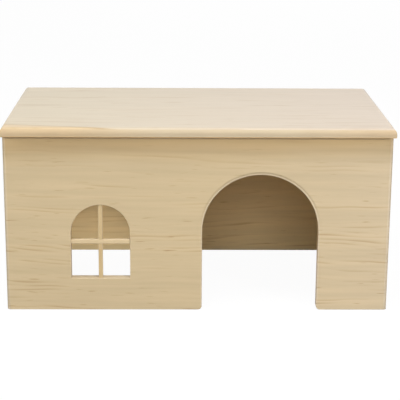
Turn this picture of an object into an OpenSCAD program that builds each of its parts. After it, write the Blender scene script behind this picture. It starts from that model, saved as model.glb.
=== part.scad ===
/* [House] */
// Width across the outside of the walls
house_w = 397; // [330:1:600]
// Depth from the front face of the front panel to the back face of the back panel
house_d = 218; // [150:1:400]
// Height of the walls
wall_h = 186; // [165:1:300]
// Thickness of the wall boards
wall_t = 10; // [9:0.5:18]
// Radius of the rounded upright edges of the front and back panels
corner_r = 3; // [1:0.5:6]

/* [Roof] */
// Thickness of the roof board
roof_t = 10; // [9:0.5:18]
// How far the roof stands out past each side wall
side_overhang = 1.5; // [0:0.5:30]
// How far the roof stands out past the front panel
front_overhang = 9; // [0:0.5:40]
// How far the roof stands out past the back panel
back_overhang = 3; // [0:0.5:40]
// Radius of the rounded top edge, all round the roof
roof_r = 6; // [1:0.5:7]
// Chamfer on the bottom edge of the roof
roof_ease = 1; // [0.5:0.25:2]

/* [Doorway] */
// Width of the doorway
door_w = 120; // [80:1:150]
// Height of the doorway at the top of its arch
door_h = 145.5; // [100:0.5:155]
// Middle of the doorway, to the right of the middle of the house
door_x = 64.5; // [50:0.5:90]
// Radius of the rounded corners at the feet of the doorway
door_foot_r = 4; // [1:0.5:8]

/* [Window] */
// Width of the window opening
window_w = 61; // [40:1:90]
// Height of the window opening at the top of its arch
window_h = 79; // [60:0.5:110]
// Middle of the window, to the left of the middle of the house
window_x = 100.5; // [90:0.5:130]
// Height of the window sill above the ground
sill_h = 34.5; // [20:0.5:50]

/* [Window bars] */
// Width of the face of both bars
bar_w = 4.4; // [3:0.1:8]
// Depth of both bars, from front to back
bar_d = 5; // [4:0.5:7]
// How far the faces of the bars lie behind the face of the front panel
bar_recess = 1; // [0.5:0.25:2]
// Clearance on each side of the bars where they cross
bar_gap = 0.1; // [0.05:0.05:0.3]

/* [Corner dowels] */
// Diameter of the dowels that join the walls
dowel_d = 5; // [3:0.5:6]
// Length of the dowels that join the walls
dowel_l = 20; // [16:1:30]
// Number of dowels in each corner
dowel_count = 3; // [2:1:6]
// Height of the lowest dowel above the ground, and of the wall top above the highest dowel
dowel_margin = 30; // [15:1:50]
// Wood left between the end of a dowel hole and the outer face of the panel
dowel_skin = 3; // [2:0.5:5]

/* [Roof pegs] */
// Diameter of the pegs that locate the roof
peg_d = 6; // [4:0.5:7]
// Length of the pegs that locate the roof
peg_l = 20; // [16:1:30]
// Distance from the end of a side panel to the middle of the nearest peg
peg_inset = 40; // [20:1:60]
// Clearance all round a peg in its hole in the roof
peg_gap = 0.3; // [0.2:0.05:0.6]
// Wood left above the peg holes in the roof
roof_skin = 3; // [2:0.5:5]

/* [Pins] */
// Chamfer on the ends of the dowels and pegs
pin_chamfer = 0.6; // [0.3:0.1:1.2]
// Gap for glue all round a dowel or peg in its glued hole
glue_gap = 0.05; // [0.02:0.01:0.2]
// Room left past the end of a dowel or peg in its hole
end_gap = 0.8; // [0.3:0.1:1.5]

/* [Hidden] */
$fn = 96;

LEFT = -1;
RIGHT = 1;
FRONT = -1;
BACK = 1;
CORNERS = [[LEFT, FRONT], [RIGHT, FRONT], [LEFT, BACK], [RIGHT, BACK]];

// Tools that cut right through a board start and end this far outside it
past = 1;

roof_w = house_w + 2 * side_overhang;
roof_d = house_d + front_overhang + back_overhang;
front_y = -roof_d / 2 + front_overhang;
back_y = front_y + house_d;
side_l = house_d - 2 * wall_t;
wall_mid_x = house_w / 2 - wall_t / 2;

door_spring = door_h - door_w / 2;
window_left_x = -window_x;
window_spring = window_h - window_w / 2;
transom_z = sill_h + window_h / 2;
bar_front_y = front_y + bar_recess;
lap_d = bar_d / 2;

dowel_in_panel = wall_t - dowel_skin - end_gap;
dowel_in_side = dowel_l - dowel_in_panel;
dowel_step = (wall_h - 2 * dowel_margin) / (dowel_count - 1);

peg_stand = roof_t - roof_skin - end_gap;
peg_in_wall = peg_l - peg_stand;

pale_pine = [0.82, 0.74, 0.60];
roof_pine = [0.90, 0.84, 0.75];
inner_pine = [0.78, 0.69, 0.54];
strip_pine = [0.86, 0.77, 0.62];
beech = [0.80, 0.66, 0.48];

// An opening with upright sides and a half-round top, standing on the origin
module arched_opening(w, spring) {
    translate([-w / 2, 0])
        square([w, spring]);
    translate([0, spring])
        circle(d = w);
}

// The sliver that rounds the foot of one jamb, with the jamb's bottom corner at the origin
module jamb_foot(side) {
    mirror([side == LEFT ? 1 : 0, 0])
        difference() {
            translate([0, -past])
                square([door_foot_r, door_foot_r + past]);
            translate([door_foot_r, door_foot_r])
                circle(r = door_foot_r);
        }
}

// The doorway seen from the front, with its threshold on the ground
module doorway() {
    translate([door_x, 0]) {
        arched_opening(door_w, door_spring);
        translate([-door_w / 2, -past])
            square([door_w, 2 * past]);
        for (side = [LEFT, RIGHT])
            translate([side * door_w / 2, 0])
                jamb_foot(side);
    }
}

// The window opening seen from the front, at its place above the sill
module window_opening() {
    translate([window_left_x, sill_h])
        arched_opening(window_w, window_spring);
}

// Stands a flat shape up, with its front face at y and its thickness towards the back
module stand_up(y, thickness) {
    translate([0, y + thickness, 0])
        rotate([90, 0, 0])
            linear_extrude(thickness)
                children();
}

// The plan of an end panel: its two corners on the given side are rounded
module end_panel_plan(side) {
    outer_y = side == FRONT ? front_y : back_y;
    inner_y = outer_y - side * wall_t;
    straight_y = outer_y - side * corner_r;
    translate([-house_w / 2, min(inner_y, straight_y)])
        square([house_w, wall_t - corner_r]);
    translate([-house_w / 2 + corner_r, min(inner_y, outer_y)])
        square([house_w - 2 * corner_r, wall_t]);
    for (end = [LEFT, RIGHT])
        translate([end * (house_w / 2 - corner_r), straight_y])
            circle(r = corner_r);
}

// A round pin along Z from the origin, chamfered at both ends
module pin(d, l) {
    tip_d = d - 2 * pin_chamfer;
    cylinder(d1 = tip_d, d2 = d, h = pin_chamfer);
    translate([0, 0, pin_chamfer])
        cylinder(d = d, h = l - 2 * pin_chamfer);
    translate([0, 0, l - pin_chamfer])
        cylinder(d1 = d, d2 = tip_d, h = pin_chamfer);
}

// Puts its child at each dowel of one corner, with the joint at z = 0 and the end panel above it
module at_corner_dowels(corner) {
    joint_y = corner.y == FRONT ? front_y + wall_t : back_y - wall_t;
    for (i = [0 : dowel_count - 1])
        translate([corner.x * wall_mid_x, joint_y, dowel_margin + i * dowel_step])
            rotate([-90 * corner.y, 0, 0])
                children();
}

// Puts its child at the roof peg of one corner, with the wall top at z = 0
module at_roof_peg(corner) {
    peg_y = corner.y == FRONT ? front_y + wall_t + peg_inset : back_y - wall_t - peg_inset;
    translate([corner.x * wall_mid_x, peg_y, wall_h])
        children();
}

// The blind holes for the dowels of one corner, through the joint into both boards
module corner_dowel_holes(corner) {
    at_corner_dowels(corner)
        translate([0, 0, -dowel_in_side - end_gap])
            cylinder(d = dowel_d + 2 * glue_gap, h = dowel_l + 2 * end_gap);
}

module corner_dowels(corner) {
    color(beech)
        at_corner_dowels(corner)
            translate([0, 0, -dowel_in_side])
                pin(dowel_d, dowel_l);
}

module roof_peg(corner) {
    color(beech)
        at_roof_peg(corner)
            translate([0, 0, -peg_in_wall])
                pin(peg_d, peg_l);
}

module front_panel() {
    color(pale_pine)
        difference() {
            intersection() {
                stand_up(front_y, wall_t)
                    difference() {
                        translate([-house_w / 2, 0])
                            square([house_w, wall_h]);
                        doorway();
                        window_opening();
                    }
                linear_extrude(wall_h)
                    end_panel_plan(FRONT);
            }
            for (side = [LEFT, RIGHT])
                corner_dowel_holes([side, FRONT]);
        }
}

module back_panel() {
    color(inner_pine)
        difference() {
            linear_extrude(wall_h)
                end_panel_plan(BACK);
            for (side = [LEFT, RIGHT])
                corner_dowel_holes([side, BACK]);
        }
}

module side_panel(side) {
    color(pale_pine)
        difference() {
            translate([side * wall_mid_x - wall_t / 2, front_y + wall_t, 0])
                cube([wall_t, side_l, wall_h]);
            for (end = [FRONT, BACK]) {
                corner_dowel_holes([side, end]);
                at_roof_peg([side, end])
                    translate([0, 0, -peg_in_wall - end_gap])
                        cylinder(d = peg_d + 2 * glue_gap, h = peg_l);
            }
        }
}

module left_side_panel() {
    side_panel(LEFT);
}

module right_side_panel() {
    side_panel(RIGHT);
}

// The end view of the roof board: rounded top corners, chamfered bottom corners, centred on X
module roof_profile(w) {
    r = min(roof_r, roof_t - 2 * roof_ease);
    straight_h = roof_t - r;
    polygon([
        [-w / 2 + roof_ease, 0], [w / 2 - roof_ease, 0],
        [w / 2, roof_ease], [w / 2, straight_h],
        [-w / 2, straight_h], [-w / 2, roof_ease]
    ]);
    translate([-w / 2 + r, roof_ease])
        square([w - 2 * r, roof_t - roof_ease]);
    intersection() {
        for (end = [LEFT, RIGHT])
            translate([end * (w / 2 - r), straight_h])
                circle(r = r);
        translate([-w / 2, straight_h])
            square([w, r]);
    }
}

module roof_board() {
    color(roof_pine)
        difference() {
            translate([0, 0, wall_h])
                intersection() {
                    stand_up(-roof_d / 2, roof_d)
                        roof_profile(roof_w);
                    rotate([0, 0, 90])
                        stand_up(-roof_w / 2, roof_w)
                            roof_profile(roof_d);
                }
            for (corner = CORNERS)
                at_roof_peg(corner)
                    translate([0, 0, -past])
                        cylinder(d = peg_d + 2 * peg_gap, h = roof_t - roof_skin + past);
        }
}

// The upright bar, glued between sill and arch, and housed on its face where the transom crosses it
module window_mullion() {
    housing_h = bar_w + 2 * bar_gap;
    color(strip_pine)
        difference() {
            intersection() {
                stand_up(bar_front_y, bar_d)
                    window_opening();
                translate([window_left_x - bar_w / 2, bar_front_y, sill_h])
                    cube([bar_w, bar_d, window_h]);
            }
            translate([window_left_x - bar_w, bar_front_y - past, transom_z - housing_h / 2])
                cube([2 * bar_w, lap_d + past, housing_h]);
        }
}

// The level bar, glued between the sides of the window, and housed on its back where it crosses the mullion
module window_transom() {
    housing_w = bar_w + 2 * bar_gap;
    color(strip_pine)
        difference() {
            translate([window_left_x - window_w / 2, bar_front_y, transom_z - bar_w / 2])
                cube([window_w, bar_d, bar_w]);
            translate([window_left_x - housing_w / 2, bar_front_y + lap_d, transom_z - bar_w])
                cube([housing_w, bar_d - lap_d + past, 2 * bar_w]);
        }
}

module front_left_dowels() {
    corner_dowels([LEFT, FRONT]);
}

module front_right_dowels() {
    corner_dowels([RIGHT, FRONT]);
}

module back_left_dowels() {
    corner_dowels([LEFT, BACK]);
}

module back_right_dowels() {
    corner_dowels([RIGHT, BACK]);
}

module front_left_roof_peg() {
    roof_peg([LEFT, FRONT]);
}

module front_right_roof_peg() {
    roof_peg([RIGHT, FRONT]);
}

module back_left_roof_peg() {
    roof_peg([LEFT, BACK]);
}

module back_right_roof_peg() {
    roof_peg([RIGHT, BACK]);
}

front_panel();
back_panel();
left_side_panel();
right_side_panel();
roof_board();
window_mullion();
window_transom();
front_left_dowels();
front_right_dowels();
back_left_dowels();
back_right_dowels();
front_left_roof_peg();
front_right_roof_peg();
back_left_roof_peg();
back_right_roof_peg();
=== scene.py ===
# %% [markdown]
# # A wooden rabbit house
#
# The object is a small shelter made of ten-millimetre pine boards: a front with an arched doorway and an
# arched window, a plain back, two sides, and a roof board that lifts off four pegs. There is no floor.
#
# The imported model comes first, because it holds every size and every joint. Each visible piece is then
# modelled again with eased edges, at the place where its solid stands, and given a finish.

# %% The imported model
import math

import bmesh
import bpy
from mathutils import Matrix, Vector


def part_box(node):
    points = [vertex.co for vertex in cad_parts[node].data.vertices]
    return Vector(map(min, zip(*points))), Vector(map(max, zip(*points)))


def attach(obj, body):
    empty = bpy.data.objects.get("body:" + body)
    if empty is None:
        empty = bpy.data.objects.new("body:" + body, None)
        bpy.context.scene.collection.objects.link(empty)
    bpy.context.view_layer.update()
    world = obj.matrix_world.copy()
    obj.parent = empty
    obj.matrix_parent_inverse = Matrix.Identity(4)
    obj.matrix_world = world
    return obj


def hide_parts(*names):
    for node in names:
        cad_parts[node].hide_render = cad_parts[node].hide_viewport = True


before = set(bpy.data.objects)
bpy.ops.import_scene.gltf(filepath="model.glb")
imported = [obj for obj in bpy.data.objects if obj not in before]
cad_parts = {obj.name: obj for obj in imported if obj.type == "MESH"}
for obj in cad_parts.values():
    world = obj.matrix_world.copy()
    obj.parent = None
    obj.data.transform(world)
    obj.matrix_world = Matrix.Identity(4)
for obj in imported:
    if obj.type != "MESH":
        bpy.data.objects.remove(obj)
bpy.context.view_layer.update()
MM = 0.001

# %% [markdown]
# ## The camera
#
# The photograph was taken with a long lens from a little above the roof, almost straight on. A camera can
# be matched by eye, or worked out from the corners of a known box. Here the edges of the roof, the walls
# and their foot gave the place and the three turns, so the values are real distances and angles.

# %% The camera
PHOTO_PX = 400
FOCAL_PX = 1293.5
SENSOR_MM = 36.0
CAMERA_AT = Vector((-20.2, -1384.4, 467.7)) * MM
PITCH_DOWN = math.radians(15.252)
YAW_RIGHT = math.radians(0.997)
ROLL = math.radians(0.395)

lens = bpy.data.cameras.new("photo_camera")
lens.sensor_width = SENSOR_MM
lens.lens = SENSOR_MM * FOCAL_PX / PHOTO_PX
camera = bpy.data.objects.new("photo_camera", lens)
bpy.context.scene.collection.objects.link(camera)
camera.matrix_world = (
    Matrix.Translation(CAMERA_AT)
    @ Matrix.Rotation(-YAW_RIGHT, 4, "Z")
    @ Matrix.Rotation(math.pi / 2 - PITCH_DOWN, 4, "X")
    @ Matrix.Rotation(ROLL, 4, "Z")
)
bpy.context.scene.camera = camera
bpy.context.scene.view_settings.view_transform = "Standard"

print(f"camera: {lens.lens:.1f} mm lens, {CAMERA_AT.length:.2f} m from the origin")

# %% [markdown]
# ## Nodes and colours
#
# A material is a tree of nodes. One function adds a node, sets it up, links it and hands back its output,
# whatever its kind, so that the recipes below read as a list of steps. A socket goes by its name or, since
# names often repeat on one node, by its number: a range has its value at 0, where it comes from at 1 and 2
# and where it goes to at 3 and 4, and a mix of colours has its share at 0 and the colours at 6 and 7.
#
# Colours are written the way a paint chart gives them, as sRGB hex, and turned to the linear values that a
# renderer adds and multiplies.

# %% Nodes and colours


def linear(colour):
    """An sRGB hex colour as linear red, green, blue and alpha."""
    parts = [int(colour[i:i + 2], 16) / 255 for i in (1, 3, 5)]
    return [p / 12.92 if p <= 0.04045 else ((p + 0.055) / 1.055) ** 2.4 for p in parts] + [1.0]


def add(tree, kind, inputs, out=0, **settings):
    """Adds a node with its settings. Each input is a value, or a socket to link. Returns one output."""
    node = tree.nodes.new("ShaderNode" + kind)
    for name, value in settings.items():
        setattr(node, name, value)
    for name, value in inputs.items():
        if isinstance(value, bpy.types.NodeSocket):
            tree.links.new(value, node.inputs[name])
        else:
            node.inputs[name].default_value = value
    return node.outputs[out] if node.outputs else None


def new_tree(owner):
    """The empty node tree of a material or a world."""
    owner.use_nodes = True
    owner.node_tree.nodes.clear()
    return owner.node_tree


print("#bcbcbc has half the light of white:", [round(c, 3) for c in linear("#bcbcbc")])

# %% [markdown]
# ## Floor
#
# The house stands on a white sweep with no edge in sight. A sheet that is lit until it looks white would
# throw so much light back that it burns out the pale wood. Instead, the sheet is grey to the light that
# bounces off it, and white only to rays that come from the camera or from a glossy or clear surface. A
# small share of what the camera sees is still a lit sheet, so the shadow of the house shows on it.
#
# The house has no floor, so a second sheet shows inside it: a brighter card of a warm white. Much of the
# light on the inner walls is thrown up by it.

# %% Floor
WHITE = "#ffffff"
SHEET_GREY = "#858380"
SHEET_HALF = 6000.0 * MM
SHEET_LIT_SHARE = 0.04
CARD_WHITE = "#f3e9da"
CARD_HALF_X, CARD_HALF_Y = 186.0 * MM, 94.0 * MM
CARD_UP = 0.2 * MM


def seen_rays(tree):
    """1 for a ray from the camera, or one that a glossy or clear surface sends on, and 0 for the rest."""
    path = add(tree, "LightPath", {}).node.outputs
    seen = add(tree, "Math", {0: path["Is Camera Ray"], 1: path["Is Glossy Ray"]}, operation="MAXIMUM")
    return add(tree, "Math", {0: seen, 1: path["Is Transmission Ray"]}, operation="MAXIMUM")


def lay_sheet(name, half_x, half_y, height, bounce):
    """A level sheet that looks white, shows a little of the shadow on it and throws back a set tone."""
    material = bpy.data.materials.new(name)
    tree = new_tree(material)
    thrown = add(tree, "BsdfDiffuse", {"Color": linear(bounce)})
    white = add(tree, "Emission", {"Color": linear(WHITE), "Strength": 1.0})
    lit = add(tree, "BsdfDiffuse", {"Color": linear(WHITE)})
    shown = add(tree, "MixShader", {0: SHEET_LIT_SHARE, 1: white, 2: lit})
    surface = add(tree, "MixShader", {0: seen_rays(tree), 1: thrown, 2: shown})
    add(tree, "OutputMaterial", {"Surface": surface})
    bm = bmesh.new()
    bmesh.ops.create_grid(bm, x_segments=1, y_segments=1, size=1.0)
    bmesh.ops.scale(bm, vec=(half_x, half_y, 1.0), verts=bm.verts)
    bmesh.ops.translate(bm, vec=(0.0, 0.0, height), verts=bm.verts)
    mesh = bpy.data.meshes.new(name)
    bm.to_mesh(mesh)
    bm.free()
    mesh.materials.append(material)
    sheet = bpy.data.objects.new(name, mesh)
    bpy.context.scene.collection.objects.link(sheet)
    print(f"{name}: {2 * half_x:.2f} x {2 * half_y:.2f} m")


lay_sheet("white_sweep", SHEET_HALF, SHEET_HALF, 0.0, SHEET_GREY)
lay_sheet("white_card", CARD_HALF_X, CARD_HALF_Y, CARD_UP, CARD_WHITE)

# %% [markdown]
# ## Surroundings
#
# The room is white in the same way as the floor: bright to the rays that are seen, and nearly dark to all
# others. A room that lit the house from every side would take the shadows away, so that is left to lamps.

# %% Surroundings
ROOM_LIGHT = 0.01

room = bpy.data.worlds.new("white_room")
bpy.context.scene.world = room
tree = new_tree(room)
dim = add(tree, "Background", {"Color": linear(WHITE), "Strength": ROOM_LIGHT})
bright = add(tree, "Background", {"Color": linear(WHITE), "Strength": 1.0})
add(tree, "OutputWorld", {"Surface": add(tree, "MixShader", {0: seen_rays(tree), 1: dim, 2: bright})})

print("room light:", ROOM_LIGHT)

# %% [markdown]
# ## Soft studio light
#
# Each lamp but the last answers something that the photograph shows. The shadow under the roof's front edge
# is soft and runs a long way down, and the sill of the window is brighter than the front, so the main lamp
# hangs high in front. The wall behind the window is far brighter than the wall behind the doorway. Only a
# small lamp low on the right does that, because it shines slantwise through the doorway onto the part of
# the back wall that shows in the window. A broad, weak lamp in front lights the wall behind the doorway a
# little, and one on the left keeps the left edges bright. The last one keeps the back from going dark.
#
# A lamp also shows as a bright patch in planed wood. A studio takes that patch away with a polarising sheet
# over each lamp. Here the lamps are left out of glossy reflections, which does the same.

# %% Soft studio light
HOUSE_MIDDLE = Vector((0.0, 0.0, 90.0)) * MM


def softbox(name, azimuth, elevation, away, side, radiance):
    """A square lamp that faces the house. Azimuth is from the front, towards the right, in degrees."""
    lamp = bpy.data.lights.new(name, "AREA")
    lamp.size = side
    lamp.energy = radiance * math.pi * side ** 2
    holder = bpy.data.objects.new(name, lamp)
    bpy.context.scene.collection.objects.link(holder)
    turn, rise = math.radians(azimuth), math.radians(elevation)
    way = Vector((math.sin(turn) * math.cos(rise), -math.cos(turn) * math.cos(rise), math.sin(rise)))
    holder.location = HOUSE_MIDDLE + way * away
    holder.rotation_euler = way.to_track_quat("Z", "Y").to_euler()
    holder.visible_glossy = False
    print(f"{name}: {lamp.energy:.1f} W")


softbox("high_softbox", azimuth=0, elevation=70, away=1.6, side=0.62, radiance=17.6)
softbox("low_right_softbox", azimuth=41, elevation=16, away=3.0, side=0.48, radiance=69.0)
softbox("low_front_softbox", azimuth=1, elevation=22, away=3.0, side=1.8, radiance=2.5)
softbox("left_softbox", azimuth=-70, elevation=27, away=4.5, side=2.4, radiance=5.8)
softbox("back_softbox", azimuth=170, elevation=25, away=3.5, side=2.2, radiance=2.1)

# %% [markdown]
# ## Where the rings lie
#
# All the boards are bare pine. A board cuts through the growth rings of a log, so the pattern is worked out
# in space: distance from the heart of the log, divided by the ring spacing. That gives long lines on a
# face and arcs on an end with the same nodes. A real log is bent and its rings wander, so the coordinates
# are bent too, in millimetres, with the log's axis first.

# %% Where the rings lie
# The turn that brings the log's axis first, and that axis
ALONG = {
    "X": ((0.0, 0.0, 0.0), (1.0, 0.0, 0.0)),
    "Y": ((0.0, 0.0, -math.pi / 2), (0.0, 1.0, 0.0)),
    "Z": ((0.0, math.pi / 2, 0.0), (0.0, 0.0, 1.0)),
}
TO_MM = (1 / MM, 1 / MM, 1 / MM)
SWAY_MM = 13.0


def streaks(tree, log, length, width, detail=2.0):
    """Noise drawn out along the log, in streaks about that long and wide in mm."""
    drawn = add(tree, "VectorMath", {0: log, 1: (1 / length, 1 / width, 1 / width)}, operation="MULTIPLY")
    return add(tree, "TexNoise", {"Vector": drawn, "Scale": 1.0, "Detail": detail}, "Fac")


def ring_space(tree, along, heart, bend):
    """Log coordinates in mm from the heart, the same ones bent with the log, and the distance from it."""
    bend_at, bend_by = bend
    place = add(tree, "TexCoord", {}, "Object")
    log = add(tree, "Mapping", {
        "Vector": place, "Location": (0.0, -heart[0], -heart[1]), "Rotation": ALONG[along][0],
        "Scale": TO_MM,
    })
    off = add(tree, "Math", {0: add(tree, "SeparateXYZ", {0: log}), 1: bend_at}, operation="SUBTRACT")
    off = add(tree, "Math", {0: off, 1: off}, operation="MULTIPLY")
    sway = add(tree, "MapRange", {0: streaks(tree, log, length=170, width=45), 3: -SWAY_MM, 4: SWAY_MM})
    lift = add(tree, "Math", {0: off, 1: bend_by, 2: sway}, operation="MULTIPLY_ADD")
    bent = add(tree, "VectorMath", {0: log, 1: add(tree, "CombineXYZ", {2: lift})})
    across = add(tree, "VectorMath", {0: bent, 1: (0.0, 1.0, 1.0)}, operation="MULTIPLY")
    return log, bent, add(tree, "VectorMath", {0: across}, "Value", operation="LENGTH")


print("grain can run along", ", ".join(ALONG))

# %% [markdown]
# ## Lines of the grain
#
# A growth ring is a pale, wide band of spring wood that ends in a narrow, darker line of summer wood. On a
# smooth, pale board only parts of those lines show, and short dashes of resin lie between them. Both are
# faint near the heart of the log and grow clearer further out. A wave texture would draw every ring from
# end to end. Here a colour ramp draws one year, and noise decides where a ring shows.

# %% Lines of the grain
YEAR_TONES = ((0.0, 0.0), (0.45, 0.1), (0.8, 0.85), (0.9, 0.8), (1.0, 0.0))
RING_FROM, RING_WHOLE = 0.54, 0.72
RING_LEFT = 0.06
DASH_FROM, DASH_WHOLE = 0.70, 0.82
CALM_AT, LIVELY_AT = 25.0, 95.0
CALM, LIVELY = 0.65, 1.3


def grain_lines(tree, log, radius, spacing, lines, dashes):
    """How dark rings and resin dashes are. They are about twice as wide as real ones, so that they show."""
    year = add(tree, "Math", {0: radius, 1: spacing}, operation="DIVIDE")
    ring = add(tree, "ValToRGB", {0: add(tree, "Math", {0: year}, operation="FRACT")})
    stops = ring.node.color_ramp.elements
    while len(stops) < len(YEAR_TONES):
        stops.new(0.5)
    for stop, (position, level) in zip(stops, YEAR_TONES):
        stop.position = position
        stop.color = (level, level, level, 1.0)
    clear = add(tree, "MapRange", {
        0: streaks(tree, log, length=110, width=8), 1: RING_FROM, 2: RING_WHOLE,
        3: RING_LEFT * lines, 4: lines,
    })
    dash = add(tree, "MapRange", {
        0: streaks(tree, log, length=20, width=1.5, detail=1.0), 1: DASH_FROM, 2: DASH_WHOLE, 4: dashes,
    })
    line = add(tree, "Math", {0: ring, 1: clear, 2: dash}, operation="MULTIPLY_ADD")
    clearer = add(tree, "MapRange", {0: radius, 1: CALM_AT, 2: LIVELY_AT, 3: CALM, 4: LIVELY})
    return add(tree, "Math", {0: line, 1: clearer}, operation="MULTIPLY")


print("one year:", YEAR_TONES)

# %% [markdown]
# ## Heartwood and sapwood
#
# The inner part of a log is warmer in colour than the outer part. On these boards the heartwood ends at a
# plane across the bent log, over a set distance, and beyond it the sapwood fades from one tone to another
# along the board. Two mixes of flat tones are enough, because the grain comes on top of them.

# %% Heartwood and sapwood


def heart_and_sap(tree, log, bent, tones, warm, fade):
    """The wood's colour without its grain, and how far out of the heartwood a point is, from 0 to 1."""
    heartwood, sapwood, faded = (linear(tones[part]) for part in ("heartwood", "sapwood", "faded"))
    onward = add(tree, "MapRange", {0: add(tree, "SeparateXYZ", {0: log}), 1: fade[0], 2: fade[1]})
    colour = add(tree, "Mix", {0: onward, 6: sapwood, 7: faded}, 2, data_type="RGBA")
    outward = add(tree, "VectorMath", {0: bent, 1: warm["way_out"]}, "Value", operation="DOT_PRODUCT")
    outward = add(tree, "MapRange", {0: outward, 1: warm["ends_from"], 2: warm["ends_at"]})
    return add(tree, "Mix", {0: outward, 6: heartwood, 7: colour}, 2, data_type="RGBA"), outward


# A board without heartwood lies outside it everywhere
NO_HEART = {"way_out": (0.0, 0.0, 0.0), "ends_from": -1.0, "ends_at": 0.0, "closing": 0.0}

print("a heart is given by", ", ".join(NO_HEART))

# %% [markdown]
# ## Planed pine
#
# Soft bands and fine fibres lie under the lines, and the heartwood may close with a dark line of its own.
# Rubbed edges are pale and dull, and end grain is darker than a face. The same mark that makes an edge pale
# also paints a highlight on the faces that are marked for it. Planing leaves a soft sheen, which is
# strongest where it is seen at a low angle, as the top of the roof is. Bare wood shines less than varnish,
# so its index is low. A picture of wood could be laid on each board, but it would stop at every edge.

# %% Planed pine
NOISE_LOW, NOISE_HIGH = 0.3, 0.7
BOARD_SHADE, FIBRE_SHADE = 0.99, 0.02
# Wear on eased edges, and painted highlights on marked faces, make them paler and less saturated
WEAR_AND_LIGHT_PALER, WEAR_AND_LIGHT_SATURATION, RUB_DULLER = 0.07, 0.87, 0.3
END_FROM, END_WHOLE = 0.75, 0.98
END_TONE = "#e0d0bb"
FIBRE_HEIGHT, FIBRE_GLOSS = 0.4, 0.03
BUMP_STRENGTH, BUMP_DEPTH = 0.2, 0.05 * MM
WOOD_IOR = 1.35


def pine(name, along, heart, spacing, bend, tones, warm, fade, marks, roughness):
    """Bare pine, in mm. Heart is the middle of the log across the grain, spacing the width of a ring, bend
    the place and strength of the log's curve, fade the stretch over which the sapwood goes from one tone to
    the other, and marks how clearly lines, bands and dashes show."""
    material = bpy.data.materials.new(name)
    tree = new_tree(material)
    log, bent, radius = ring_space(tree, along, heart, bend)
    colour, outward = heart_and_sap(tree, log, bent, tones, warm, fade)

    # The lines, and the dark one half-way out of the heartwood
    line = grain_lines(tree, log, radius, spacing, marks["lines"], marks["dashes"])
    seam = add(tree, "Math", {0: outward, 1: 0.5}, operation="PINGPONG")
    line = add(tree, "Math", {0: seam, 1: warm["closing"], 2: line}, operation="MULTIPLY_ADD",
               use_clamp=True)
    colour = add(tree, "Mix", {0: line, 6: colour, 7: linear(tones["summer"])}, 2, data_type="RGBA")

    # Soft bands, fine fibres, and paler wood along the eased edges and on faces with a painted highlight
    fibre = add(tree, "MapRange", {
        0: streaks(tree, log, length=70, width=1.3, detail=3.0), 1: NOISE_LOW, 2: NOISE_HIGH,
    })
    band = add(tree, "MapRange", {
        0: streaks(tree, log, length=150, width=8, detail=4.0), 1: NOISE_LOW, 2: NOISE_HIGH,
        3: BOARD_SHADE - marks["bands"], 4: BOARD_SHADE + marks["bands"],
    })
    shade = add(tree, "Math", {0: fibre, 1: FIBRE_SHADE, 2: band}, operation="MULTIPLY_ADD")
    # Marked faces: rubbed edges, and faces that get a painted highlight
    wear_and_light = add(tree, "Attribute", {}, "Fac", attribute_name="wear_and_light")
    paler_wear_and_light = add(tree, "MapRange", {
        0: streaks(tree, log, length=40, width=12), 1: NOISE_LOW, 2: NOISE_HIGH, 4: WEAR_AND_LIGHT_PALER,
    })
    shade = add(tree, "Math", {0: wear_and_light, 1: paler_wear_and_light, 2: shade}, operation="MULTIPLY_ADD")
    washed_wear_and_light = add(tree, "MapRange", {0: wear_and_light, 3: 1.0, 4: WEAR_AND_LIGHT_SATURATION})
    colour = add(tree, "HueSaturation", {"Color": colour, "Saturation": washed_wear_and_light, "Value": shade})

    # End grain drinks more light than a face does
    facing = add(tree, "NewGeometry", {}, "Normal")
    end = add(tree, "VectorMath", {0: facing, 1: ALONG[along][1]}, "Value", operation="DOT_PRODUCT")
    end = add(tree, "Math", {0: end}, operation="ABSOLUTE")
    end = add(tree, "MapRange", {0: end, 1: END_FROM, 2: END_WHOLE})
    colour = add(tree, "Mix", {0: end, 6: colour, 7: linear(END_TONE)}, 2, data_type="RGBA",
                 blend_type="MULTIPLY")

    # Sheen, uneven along the fibres and dull where an edge was rubbed
    height = add(tree, "Math", {0: fibre, 1: FIBRE_HEIGHT, 2: line}, operation="MULTIPLY_ADD")
    bump = add(tree, "Bump", {"Height": height, "Strength": BUMP_STRENGTH, "Distance": BUMP_DEPTH})
    gloss = add(tree, "MapRange", {0: fibre, 3: roughness - FIBRE_GLOSS, 4: roughness + FIBRE_GLOSS})
    gloss = add(tree, "Math", {0: wear_and_light, 1: RUB_DULLER, 2: gloss}, operation="MULTIPLY_ADD")
    surface = add(tree, "BsdfPrincipled", {
        "Base Color": colour, "Roughness": gloss, "IOR": WOOD_IOR, "Normal": bump,
    })
    add(tree, "OutputMaterial", {"Surface": surface})
    print(f"{name}: {len(tree.nodes)} nodes")
    return material


print("index of bare wood:", WOOD_IOR)

# %% [markdown]
# ## Finish of the front
#
# One finish could serve all the boards, but then the same lines would run on from one to the next. Every
# board was cut from another place in a log, so each gets its own heart and ring spacing. The front was cut
# near the heart, which lay level with its top edge: there it is calm, and below it is pale and livelier.
# The warmer, darker tone along the top is partly heartwood and partly painted shade, for the shadow under
# the roof's overhang, and it reaches lower at the left end. Its lines have a slight slope, because its log
# was bent.

# %% Finish of the front
# The heartwood tone is darker and warmer: partly heartwood, partly painted shade under the roof's edge
FRONT_TONES_AND_SHADE = {"heartwood": "#c0a77d", "sapwood": "#c0ad8b", "faded": "#c2b092", "summer": "#957549"}
FRONT_HEART_AND_SHADE = {"way_out": (0.06, 0.0, -1.0), "ends_from": -2.0, "ends_at": 20.0, "closing": 0.0}

front_pine = pine(
    "front_pine_board", along="X", heart=(-96.0, 149.0), spacing=4.6, bend=(1500.0, -1.2e-5),
    tones=FRONT_TONES_AND_SHADE, warm=FRONT_HEART_AND_SHADE, fade=(20.0, 190.0),
    marks={"lines": 0.52, "bands": 0.066, "dashes": 0.58}, roughness=0.42,
)
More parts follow.
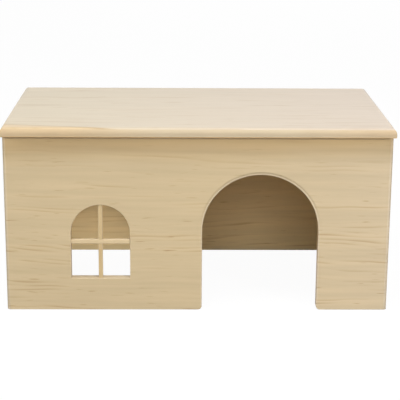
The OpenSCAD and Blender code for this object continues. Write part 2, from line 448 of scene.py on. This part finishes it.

# %% [markdown]
# ## Finish of the back and sides
#
# The boards behind the front were never sanded as finely, so they are a little rougher, and they are
# painted
# paler and more golden than the front: painted light, which brightens the inside of the house. The back
# shows in the doorway, where its lines are clear. The sides are quiet boards from further out in the log,
# with the grain running from front to back.

# %% Finish of the back and sides
# Paler and more golden than the front: painted light on the inner walls
INSIDE_LIT = {"heartwood": "#e4c590", "sapwood": "#ebd4a3", "faded": "#e8d1a1", "summer": "#a67a43"}
BACK_HEART = {"way_out": (0.0, 0.0, -1.0), "ends_from": 70.0, "ends_at": 165.0, "closing": 0.0}
QUIET = {"lines": 0.3, "bands": 0.02, "dashes": 0.2}
INSIDE_ROUGH = 0.46

back_pine = pine(
    "back_pine_board", along="X", heart=(107.0, 160.0), spacing=6.4, bend=(-250.0, -1e-4),
    tones=INSIDE_LIT, warm=BACK_HEART, fade=(-300.0, 300.0),
    marks={"lines": 0.38, "bands": 0.07, "dashes": 0.35}, roughness=INSIDE_ROUGH,
)
left_pine = pine(
    "left_pine_board", along="Y", heart=(250.0, 100.0), spacing=4.2, bend=(0.0, 1e-5),
    tones=INSIDE_LIT, warm=NO_HEART, fade=(-100.0, 100.0), marks=QUIET, roughness=INSIDE_ROUGH,
)
right_pine = pine(
    "right_pine_board", along="Y", heart=(-260.0, 70.0), spacing=4.4, bend=(0.0, 1e-5),
    tones=INSIDE_LIT, warm=NO_HEART, fade=(100.0, -100.0), marks=QUIET, roughness=INSIDE_ROUGH,
)

# %% [markdown]
# ## Finish of the roof
#
# The top of the roof is painted greyer and paler than its front edge: a painted sheen, added to the sheen
# that its surface shows where it is seen at a low angle. The underside is painted golden and bright like
# the inside, as painted light for the inside of the house. All three are one board, so they share one log.
# One finish could mix the three by the way a face looks, but three are easier to read. The front left
# corner of the roof is heartwood, which ends in a dark line on the top and softly on the edge.

# %% Finish of the roof
ROOF_LOG = {"along": "X", "heart": (20.0, 130.0), "spacing": 4.8, "bend": (40.0, 1e-5)}
# Greyer and paler than the edge: painted sheen
TOP_AND_SHEEN = {"heartwood": "#c1ac8b", "sapwood": "#bcb09a", "faded": "#bfb1a1", "summer": "#957a54"}
EDGE = {"heartwood": "#b49b74", "sapwood": "#b3a182", "faded": "#b39b78", "summer": "#8d704a"}
# Golden and bright like the inside boards: painted light
UNDER_LIT = {"heartwood": "#dcb67a", "sapwood": "#dcb67a", "faded": "#dfbb82", "summer": "#a87f4a"}
TOP_CORNER = {"way_out": (0.15, 1.0, 0.25), "ends_from": -133.5, "ends_at": -129.5, "closing": 1.2}
EDGE_CORNER = {"way_out": (0.2, 1.0, 0.25), "ends_from": -146.0, "ends_at": -128.0, "closing": 0.0}

roof_pine = pine(
    "roof_pine_board", **ROOF_LOG, tones=TOP_AND_SHEEN, warm=TOP_CORNER, fade=(-150.0, 200.0),
    marks={"lines": 0.6, "bands": 0.034, "dashes": 0.6}, roughness=0.38,
)
edge_pine = pine(
    "roof_edge_pine", **ROOF_LOG, tones=EDGE, warm=EDGE_CORNER, fade=(90.0, 190.0),
    marks={"lines": 0.15, "bands": 0.02, "dashes": 0.25}, roughness=0.42,
)
under_pine = pine(
    "roof_underside_pine", **ROOF_LOG, tones=UNDER_LIT, warm=NO_HEART, fade=(-150.0, 200.0),
    marks=QUIET, roughness=0.50,
)

# %% [markdown]
# ## Finish of the window bars
#
# The two bars are thin sawn strips with the grain along each. The upright one is a shade darker than the
# level one, so they are two pieces of wood and not one pattern that runs through both.

# %% Finish of the window bars
STRIP_LOG = {"heart": (-80.0, 20.0), "spacing": 3.4, "bend": (0.0, 1e-5), "fade": (-200.0, 200.0)}
STRIP = {"heartwood": "#c8b38e", "sapwood": "#c8b38e", "faded": "#cbb692", "summer": "#9c7a4e"}
POST = {"heartwood": "#bea67c", "sapwood": "#bea67c", "faded": "#c1aa82", "summer": "#957447"}
SAWN = {"lines": 0.2, "bands": 0.02, "dashes": 0.2}
SAWN_ROUGH = 0.36

strip_pine = pine(
    "sawn_pine_strip", along="X", **STRIP_LOG, tones=STRIP, warm=NO_HEART, marks=SAWN, roughness=SAWN_ROUGH
)
post_pine = pine(
    "sawn_pine_post", along="Z", **STRIP_LOG, tones=POST, warm=NO_HEART, marks=SAWN, roughness=SAWN_ROUGH
)

# %% [markdown]
# ## Turned beech
#
# The pins that join the boards are beech, which is harder than pine. It is pinkish brown, has no clear
# rings, and is speckled with short dark dashes, where the rays of the wood end on the surface. The dashes
# are duller than the wood between them, and the tapered ends of a pin are paler from use.

# %% Turned beech
BEECH_PALE, BEECH_DARK, BEECH_RAY = "#d2b083", "#bd9467", "#9a6f46"
RAY_FROM, RAY_WHOLE = 0.6, 0.7
BEECH_ROUGH, RAY_ROUGH = 0.42, 0.6
PIN_END_PALER = 1.1

beech = bpy.data.materials.new("turned_beech")
tree = new_tree(beech)
place = add(tree, "TexCoord", {}, "Object")
log = add(tree, "Mapping", {"Vector": place, "Rotation": ALONG["Z"][0], "Scale": TO_MM})
ray = add(tree, "MapRange", {
    0: streaks(tree, log, length=2.4, width=0.5, detail=1.0), 1: RAY_FROM, 2: RAY_WHOLE,
})
tone = add(tree, "Mix", {
    0: streaks(tree, log, length=9, width=1.5), 6: linear(BEECH_PALE), 7: linear(BEECH_DARK),
}, 2, data_type="RGBA")
tone = add(tree, "Mix", {0: ray, 6: tone, 7: linear(BEECH_RAY)}, 2, data_type="RGBA")
wear_and_light = add(tree, "Attribute", {}, "Fac", attribute_name="wear_and_light")
paler = add(tree, "MapRange", {0: wear_and_light, 3: 1.0, 4: PIN_END_PALER})
tone = add(tree, "HueSaturation", {"Color": tone, "Value": paler})
gloss = add(tree, "MapRange", {0: ray, 3: BEECH_ROUGH, 4: RAY_ROUGH})
bump = add(tree, "Bump", {"Height": ray, "Strength": BUMP_STRENGTH, "Distance": BUMP_DEPTH})
turned = add(tree, "BsdfPrincipled", {
    "Base Color": tone, "Roughness": gloss, "IOR": WOOD_IOR, "Normal": bump,
})
add(tree, "OutputMaterial", {"Surface": turned})

print(f"turned_beech: {len(tree.nodes)} nodes")

# %% [markdown]
# ## Boards and roundings
#
# No edge of a sanded board is sharp. The larger roundings are cut first, then every edge that is still
# sharp gets a small arris. Only edges that point outwards are eased, because sandpaper doesn't reach into
# an inner corner. A Bevel modifier could round them too, but the operator hands back the new faces, which
# are then marked as worn.

# %% Boards and roundings
TOUCH = 0.01 * MM
HALF_RIGHT = math.radians(45)


def blank():
    """An empty mesh whose faces can be marked as worn."""
    bm = bmesh.new()
    bm.faces.layers.float.new("wear_and_light")
    return bm


def board(low, high):
    """A plain board between two corners."""
    bm = blank()
    bmesh.ops.create_cube(bm, size=1.0)
    bmesh.ops.scale(bm, vec=high - low, verts=bm.verts)
    bmesh.ops.translate(bm, vec=(low + high) / 2, verts=bm.verts)
    return bm


def edges_where(bm, test):
    """The edges whose two ends both pass the test."""
    return [edge for edge in bm.edges if all(test(vert.co) for vert in edge.verts)]


def sharp_edges(bm):
    """The edges that still turn outwards by more than half a right angle."""
    bm.normal_update()
    return [
        edge for edge in bm.edges
        if edge.is_manifold and edge.is_convex and edge.calc_face_angle() > HALF_RIGHT
    ]


def ease(bm, edges, radius, segments):
    """Rounds edges, lets the new faces shade smoothly and marks them as worn."""
    made = bmesh.ops.bevel(
        bm, geom=edges, offset=radius, offset_type="OFFSET", segments=segments, profile=0.5,
        affect="EDGES", material=-1, clamp_overlap=True,
    )
    wear_and_light = bm.faces.layers.float["wear_and_light"]
    for face in made["faces"]:
        face.smooth = True
        face[wear_and_light] = 1.0


print(f"edges over {math.degrees(HALF_RIGHT):.0f} degrees are eased")

# %% [markdown]
# ## From mesh to piece
#
# A finished mesh becomes an object at the origin that stands for its solid and moves with its body. Its
# normals are weighted by the size of the faces, so that the large flat faces stay flat beside a rounding.

# %% From mesh to piece
CREASE = math.radians(35)


def finish_piece(name, bm, materials, body, node):
    """Makes the mesh an object that stands for its solid and moves with its body."""
    for edge in bm.edges:
        edge.smooth = edge.calc_face_angle(0.0) < CREASE
    mesh = bpy.data.meshes.new(name)
    bm.to_mesh(mesh)
    bm.free()
    for material in materials:
        mesh.materials.append(material)
    piece = bpy.data.objects.new(name, mesh)
    bpy.context.scene.collection.objects.link(piece)
    piece.modifiers.new("even_shading", "WEIGHTED_NORMAL").keep_sharp = True
    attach(piece, body)
    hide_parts(node)
    print(f"{name}: {len(mesh.polygons)} faces, {[round(d / MM, 1) for d in piece.dimensions]} mm")


print("nodes to stand for:", ", ".join(sorted(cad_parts)))

# %% [markdown]
# ## Back and sides
#
# The back is as wide as the front, and its outer upright edges are rounded over. The sides stand between
# front and back. Their joints are glued and closed, so only a fine line shows between the eased edges.

# %% Back and sides
UPRIGHT_R, UPRIGHT_STEPS = 3.0 * MM, 6
ARRIS, ARRIS_STEPS = 0.4 * MM, 3

low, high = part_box("back_panel")
bm = board(low, high)
upright = [
    edge for edge in edges_where(bm, lambda p: p.y > high.y - TOUCH)
    if edge.calc_length() < high.z - low.z + TOUCH
]
ease(bm, upright, UPRIGHT_R, UPRIGHT_STEPS)
ease(bm, sharp_edges(bm), ARRIS, ARRIS_STEPS)
finish_piece("back_board", bm, [back_pine], "house", "back_panel")

for side, material in (("left", left_pine), ("right", right_pine)):
    bm = board(*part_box(f"{side}_side_panel"))
    ease(bm, sharp_edges(bm), ARRIS, ARRIS_STEPS)
    finish_piece(f"{side}_side_board", bm, [material], "house", f"{side}_side_panel")

# %% [markdown]
# ## Drawing an outline
#
# A board with cut-outs can be cut with a boolean, but that leaves ragged faces along the arches. Here the
# outlines are drawn first, with each arch as a spun point, then filled in one go with the inner ones left
# free, and drawn out to the thickness of the board. The triangles of the fill are joined to large flat
# faces, because no rounding gets wider than the smallest triangle beside its edge.

# %% Drawing an outline
ARCH_STEPS = 60
FOOT_STEPS = 8


def draw_loop(bm, start, strokes):
    """Draws a closed outline. A stroke is a point to go to, or a centre and a turn in degrees."""
    first = pen = bm.verts.new((*start, 0.0))
    for stroke in strokes:
        if len(stroke) == 2:
            tip = bm.verts.new((*stroke, 0.0))
            bm.edges.new((pen, tip))
        else:
            x, y, turn = stroke
            arc = bmesh.ops.spin(
                bm, geom=[pen], cent=(x, y, 0.0), axis=(0.0, 0.0, 1.0), angle=math.radians(turn),
                steps=ARCH_STEPS if abs(turn) > 90 else FOOT_STEPS,
            )
            tip = next(item for item in arc["geom_last"] if isinstance(item, bmesh.types.BMVert))
        pen = tip
    bm.edges.new((pen, first))


def draw_out(bm, depth, place):
    """Fills the outlines but leaves inner ones free, draws them out to a depth and puts them in place."""
    bmesh.ops.triangle_fill(bm, use_beauty=True, use_dissolve=True, edges=bm.edges)
    sheet = bmesh.ops.extrude_face_region(bm, geom=bm.faces[:])
    tops = [item for item in sheet["geom"] if isinstance(item, bmesh.types.BMVert)]
    bmesh.ops.translate(bm, vec=(0.0, 0.0, depth), verts=tops)
    bmesh.ops.transform(bm, matrix=place, verts=bm.verts)
    bmesh.ops.recalc_face_normals(bm, faces=bm.faces)


print(f"an arch has {ARCH_STEPS} steps, a rounded foot {FOOT_STEPS}")

# %% [markdown]
# ## Front
#
# The front is one board with an arched doorway that reaches the ground and an arched window. The feet of
# the doorway are rounded in the outline itself, as the saw cut them. The window is as wide as its level bar
# and as high as its upright one, so its size is taken from them.

# %% Front
DOOR_W = 120.0 * MM
DOOR_H = 145.5 * MM
DOOR_X = 64.5 * MM
DOOR_FOOT_R = 4.0 * MM
STAND_UP = Matrix.Rotation(math.pi / 2, 4, "X")

low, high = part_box("front_panel")
bar_low, bar_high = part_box("window_transom")
post_low, post_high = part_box("window_mullion")
door_left, door_right = DOOR_X - DOOR_W / 2, DOOR_X + DOOR_W / 2
door_spring = DOOR_H - DOOR_W / 2
pane_x = (bar_low.x + bar_high.x) / 2
pane_spring = post_high.z - (bar_high.x - pane_x)

bm = blank()
draw_loop(bm, (low.x, low.z), [
    (door_left - DOOR_FOOT_R, low.z),
    (door_left - DOOR_FOOT_R, low.z + DOOR_FOOT_R, 90),
    (door_left, door_spring),
    (DOOR_X, door_spring, -180),
    (door_right, low.z + DOOR_FOOT_R),
    (door_right + DOOR_FOOT_R, low.z + DOOR_FOOT_R, 90),
    (high.x, low.z),
    (high.x, high.z),
    (low.x, high.z),
])
draw_loop(bm, (bar_low.x, post_low.z), [
    (bar_high.x, post_low.z),
    (bar_high.x, pane_spring),
    (pane_x, pane_spring, 180),
])
draw_out(bm, high.y - low.y, Matrix.Translation((0.0, high.y, 0.0)) @ STAND_UP)

print(f"front: {len(bm.faces)} faces before its edges are eased")

# %% [markdown]
# ## Edges of the front
#
# The outer upright edges are rounded like those of the back. Round the arch of the doorway the front was
# sanded down by hand, which leaves a narrow slope and, inside it, a flat lip that lies a little deeper. A
# bevel would cut as deep as it is wide, so lip and slope are two insets of the flat front, one inside the
# other. Only the points of the lip are pushed back, and less and less towards the upright sides. The lip is
# rubbed pale, which also stands as a painted highlight from the light that the floor throws up onto it, and
# the sill of the window is painted paler as a highlight from the light that falls on it from above.

# %% Edges of the front
SANDED_W = 3.0 * MM
SANDED_DEPTH = 0.65 * MM
SANDED_RUN = DOOR_W / 4
LIP_W = 1.0 * MM
# How much of a face's normal points one way
WHOLLY, MOSTLY = 0.99, 0.7


def past_door(point):
    """How far a point of the front lies outside the doorway."""
    return math.hypot(point.x - DOOR_X, max(point.z - door_spring, 0.0)) - DOOR_W / 2


upright = edges_where(bm, lambda p: p.y < low.y + TOUCH and abs(p.x) > high.x - TOUCH)
ease(bm, upright, UPRIGHT_R, UPRIGHT_STEPS)
ease(bm, sharp_edges(bm), ARRIS, ARRIS_STEPS)
flat_front = [face for face in bm.faces if face.normal.y < -WHOLLY]
for width in (LIP_W, SANDED_W - LIP_W):
    bmesh.ops.inset_region(bm, faces=flat_front, thickness=width, use_even_offset=True, use_boundary=True)
lip = {
    vert for vert in bm.verts
    if past_door(vert.co) < ARRIS + LIP_W + TOUCH and vert.co.y < low.y + ARRIS + TOUCH
}
for vert in lip:
    vert.co.y += SANDED_DEPTH * min(max(vert.co.z - door_spring, 0.0) / SANDED_RUN, 1.0)
wear_and_light = bm.faces.layers.float["wear_and_light"]
# The sill gets a painted highlight, and the lip wear and a painted highlight, through the same mark
for face in bm.faces:
    sill = face.normal.z > MOSTLY and face.calc_center_median().z < pane_spring
    if sill or lip.issuperset(face.verts):
        face[wear_and_light] = 1.0
finish_piece("front_board", bm, [front_pine], "house", "front_panel")

# %% [markdown]
# ## Window bars
#
# Two thin strips cross in the window, glued between its edges. Each is half cut away where they cross, so
# both lie in one plane and the level bar passes in front. The outline of each bar is drawn with its
# housing, seen from above or from the side, and then drawn out to the bar's width. Only the long edges are
# eased, because the ends are glued and the housings are closed.

# %% Window bars
lap = (post_low.y + post_high.y) / 2
bm = blank()
draw_loop(bm, (bar_low.x, bar_low.y), [
    (bar_high.x, bar_low.y), (bar_high.x, bar_high.y),
    (post_high.x, bar_high.y), (post_high.x, lap), (post_low.x, lap), (post_low.x, bar_high.y),
    (bar_low.x, bar_high.y),
])
draw_out(bm, bar_high.z - bar_low.z, Matrix.Translation((0.0, 0.0, bar_low.z)))
long_way = [edge for edge in sharp_edges(bm) if edge.calc_length() > bar_high.x - pane_x - TOUCH]
ease(bm, long_way, ARRIS, ARRIS_STEPS)
finish_piece("level_window_bar", bm, [strip_pine], "house", "window_transom")

bm = blank()
draw_loop(bm, (post_low.y, post_low.z), [
    (post_high.y, post_low.z), (post_high.y, post_high.z), (post_low.y, post_high.z),
    (post_low.y, bar_high.z), (lap, bar_high.z), (lap, bar_low.z), (post_low.y, bar_low.z),
])
# The outline's two directions become depth and height, and it is drawn out to the right
side_on = Matrix(((0, 0, 1, post_low.x), (1, 0, 0, 0), (0, 1, 0, 0), (0, 0, 0, 1)))
draw_out(bm, post_high.x - post_low.x, side_on)
long_way = [edge for edge in sharp_edges(bm) if edge.calc_length() > (post_high.z - bar_high.z) / 2]
ease(bm, long_way, ARRIS, ARRIS_STEPS)
finish_piece("upright_window_bar", bm, [post_pine], "house", "window_mullion")

# %% [markdown]
# ## Roof
#
# The roof is one board. Its underside has four blind holes for the pegs, which show when it is lifted. The
# bottom face is taken out and filled again round four circles, and each circle is then drawn up into the
# wood and closed. A boolean could cut the holes too, but this way every face is one that was asked for.

# %% Roof
PEG_GAP = 0.3 * MM
END_GAP = 0.8 * MM
HOLE_SIDES = 32
PEGS = ("front_left_roof_peg", "front_right_roof_peg", "back_left_roof_peg", "back_right_roof_peg")

low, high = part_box("roof_board")
bm = board(low, high)
underside = [face for face in bm.faces if face.calc_center_median().z < low.z + TOUCH]
rim = list(underside[0].edges)
bmesh.ops.delete(bm, geom=underside, context="FACES_ONLY")
holes = []
for peg in PEGS:
    peg_low, peg_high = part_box(peg)
    middle = (peg_low + peg_high) / 2
    middle.z = low.z
    hole = bmesh.ops.create_circle(
        bm, segments=HOLE_SIDES, radius=(peg_high.x - peg_low.x) / 2 + PEG_GAP,
        matrix=Matrix.Translation(middle), cap_ends=False,
    )
    corners = set(hole["verts"])
    holes.append([edge for edge in bm.edges if corners.issuperset(edge.verts)])
bmesh.ops.triangle_fill(bm, use_beauty=True, use_dissolve=False, edges=rim + sum(holes, []))
for hole in holes:
    wall = bmesh.ops.extrude_edge_only(bm, edges=hole)
    tops = [item for item in wall["geom"] if isinstance(item, bmesh.types.BMVert)]
    ends = [item for item in wall["geom"] if isinstance(item, bmesh.types.BMEdge)]
    bmesh.ops.translate(bm, vec=(0.0, 0.0, peg_high.z + END_GAP - low.z), verts=tops)
    bmesh.ops.edgeloop_fill(bm, edges=[edge for edge in ends if all(vert in tops for vert in edge.verts)])
bmesh.ops.recalc_face_normals(bm, faces=bm.faces)

print(f"roof: {len(holes)} holes, {(peg_high.z + END_GAP - low.z) / MM:.1f} mm deep")

# %% [markdown]
# ## Edges of the roof
#
# The top edge is rounded over all round, and the bottom edge only a little. Hands take hold of the roof at
# the front, so only that edge is rubbed. The faces are sorted by the way they face, because the finishes
# are
# lit copies of one wood: down to the underside's painted light, forwards to the edge's plain tone, and the
# rest to the top's painted sheen.

# %% Edges of the roof
ROOF_R, ROOF_STEPS = 6.0 * MM, 8
BOTTOM_R = 1.0 * MM
SLIGHTLY = 0.1
TOP_FACE, UNDER_FACE, EDGE_FACE = 0, 1, 2

ease(bm, edges_where(bm, lambda p: p.z > high.z - TOUCH), ROOF_R, ROOF_STEPS)
bottom = edges_where(
    bm, lambda p: p.z < low.z + TOUCH and max(abs(p.x) - high.x, abs(p.y) - high.y) > -TOUCH
)
ease(bm, bottom, BOTTOM_R, ARRIS_STEPS)
wear_and_light = bm.faces.layers.float["wear_and_light"]
# Each way of facing gets its own copy of the wood: painted sheen on top, painted light below
for face in bm.faces:
    if face.normal.z < -SLIGHTLY:
        face.material_index = UNDER_FACE
    elif face.normal.y < -MOSTLY:
        face.material_index = EDGE_FACE
        face[wear_and_light] = 1.0
    else:
        face.material_index = TOP_FACE
        face[wear_and_light] = 0.0
finish_piece("roof_lid", bm, [roof_pine, under_pine, edge_pine], "roof", "roof_board")

# %% [markdown]
# ## Pegs and dowels
#
# Four pegs in the wall tops keep the roof in place. Bought pegs are fluted, so that glue and air can
# escape, and tapered at their ends. A cylinder with every second upright line pushed in gives the flutes.
# The corner dowels are sealed in the wood and keep their plain solids, with the same finish.

# %% Pegs and dowels
FLUTES = 14
FLUTE_DEPTH = 0.2 * MM
PIN_CHAMFER, PIN_STEPS = 0.6 * MM, 2

for peg in PEGS:
    low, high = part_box(peg)
    radius = (high.x - low.x) / 2
    drawn_in = 1 - FLUTE_DEPTH / radius
    bm = blank()
    bmesh.ops.create_cone(
        bm, segments=2 * FLUTES, radius1=radius, radius2=radius, depth=high.z - low.z, cap_ends=True
    )
    around = {vert: round(math.atan2(vert.co.y, vert.co.x) / math.pi * FLUTES) for vert in bm.verts}
    pushed = [vert for vert, step in around.items() if step % 2]
    bmesh.ops.scale(bm, vec=(drawn_in, drawn_in, 1.0), verts=pushed)
    rims = edges_where(bm, lambda p: p.z > 0) + edges_where(bm, lambda p: p.z < 0)
    ease(bm, rims, PIN_CHAMFER, PIN_STEPS)
    bmesh.ops.translate(bm, vec=(low + high) / 2, verts=bm.verts)
    finish_piece(peg.replace("roof_peg", "fluted_peg"), bm, [beech], "house", peg)

for name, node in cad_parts.items():
    if name.endswith("_dowels"):
        node.data.materials.clear()
        node.data.materials.append(beech)
        print(f"{name}: {node.data.materials[0].name}")
